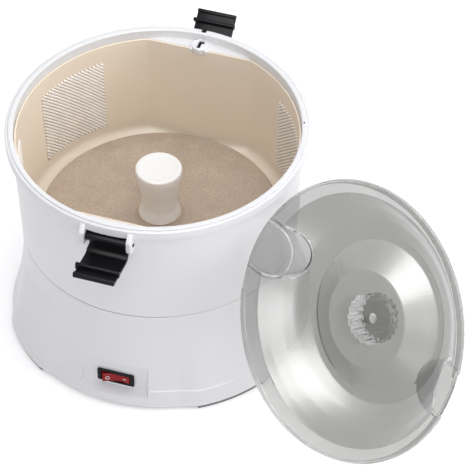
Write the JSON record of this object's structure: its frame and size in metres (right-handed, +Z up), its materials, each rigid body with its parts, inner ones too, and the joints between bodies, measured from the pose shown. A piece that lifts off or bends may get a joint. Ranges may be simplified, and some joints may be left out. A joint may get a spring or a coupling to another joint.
{
  "type": "electric potato peeler",
  "caption": "Countertop potato peeler: white drum with ribbed liner, spinning abrasive disc and hub, swinging latches, rocker switch, and a clear lid leaning beside it.",
  "frame": {"origin": "middle of the bottom cover's underside, on the disc's turning axis", "axes": "+Z up along the disc's turning axis; -Y towards the front with the power switch; +X to the side where the lid leans"},
  "size_m": [0.3848, 0.3187, 0.1981],
  "materials": {
    "white": "glossy moulded plastic",
    "liner": "satin moulded plastic",
    "abrasive": "ribbed, slightly rough",
    "disc": "gritty",
    "hub": "satin moulded plastic",
    "black": "satin black plastic",
    "red": "translucent red plastic",
    "foot": "matt rubber",
    "belt": "matt rubber",
    "steel": "bright turned steel",
    "zinc": "zinc plated sheet steel",
    "bronze": "sintered bronze",
    "clear": "clear moulded plastic"
  },
  "bodies": {
    "body": {"abrasive_panel_1": "abrasive", "abrasive_panel_2": "abrasive", "abrasive_panel_3": "abrasive", "abrasive_panel_4": "abrasive", "base_shell": "white", "bottom_cover": "white", "chassis_plate": "zinc", "chassis_screw_1": "steel", "chassis_screw_2": "steel", "chassis_screw_3": "steel", "chassis_screw_4": "steel", "cord_gland": "black", "cover_screw_1": "steel", "cover_screw_2": "steel", "cover_screw_3": "steel", "cover_screw_4": "steel", "drive_belt": "belt", "drum_liner": "liner", "drum_shell": "white", "foot_1": "foot", "foot_2": "foot", "foot_3": "foot", "foot_4": "foot", "front_clip_pin": "black", "interlock_switch": "black", "lower_bearing": "bronze", "motor_can": "zinc", "motor_end_cap": "black", "rear_clip_pin": "black", "rear_rim_stop": "black", "shaft_seal": "belt", "switch_housing": "black", "upper_bearing": "bronze"},
    "disc_drive": {"spindle": "steel", "peeling_disc": "disc", "hub_cap": "hub", "spindle_pulley": "black"},
    "motor_rotor": {"motor_shaft": "steel", "motor_pulley": "zinc"},
    "front_latch": {"front_clip": "black"},
    "rear_latch": {"rear_clip": "black"},
    "power_rocker": {"switch_rocker": "red"},
    "interlock": {"interlock_rod": "black", "interlock_plunger": "red"},
    "lid_unit": {"lid": "clear", "lid_knob": "clear"}
  },
  "joints": [
    {"name": "disc_spin", "type": "hinge", "parent": "body", "child": "disc_drive", "pos_m": [0, 0, 0.095], "axis": [0, 0, 1], "continuous": true},
    {"name": "motor_spin", "type": "hinge", "parent": "body", "child": "motor_rotor", "pos_m": [-0.06, 0, 0.0137], "axis": [0, 0, 1], "continuous": true},
    {"name": "front_latch_hinge", "type": "hinge", "parent": "body", "child": "front_latch", "pos_m": [0, -0.119, 0.18], "axis": [1, 0, 0], "range_deg": [-173, 3]},
    {"name": "rear_latch_hinge", "type": "hinge", "parent": "body", "child": "rear_latch", "pos_m": [0, 0.119, 0.18], "axis": [-1, 0, 0], "range_deg": [-143, 33]},
    {"name": "power_rocker_tilt", "type": "hinge", "parent": "body", "child": "power_rocker", "pos_m": [0, -0.1118, 0.0187], "axis": [0, 0, 1], "range_deg": [-18, 0]},
    {"name": "interlock_press", "type": "slide", "parent": "body", "child": "interlock", "axis": [0, 0, -1], "range_m": [0, 0.003], "stiffness_N_per_m": 60, "springref_m": -0.002},
    {"name": "lid_lift_away", "type": "slide", "parent": "body", "child": "lid_unit", "axis": [0.7154, -0.2675, 0.6455], "range_m": [0, 0.25]}
  ],
  "couplings": [
    {"joint": "motor_spin", "follows": "disc_spin", "ratio": 4.8587}
  ]
}
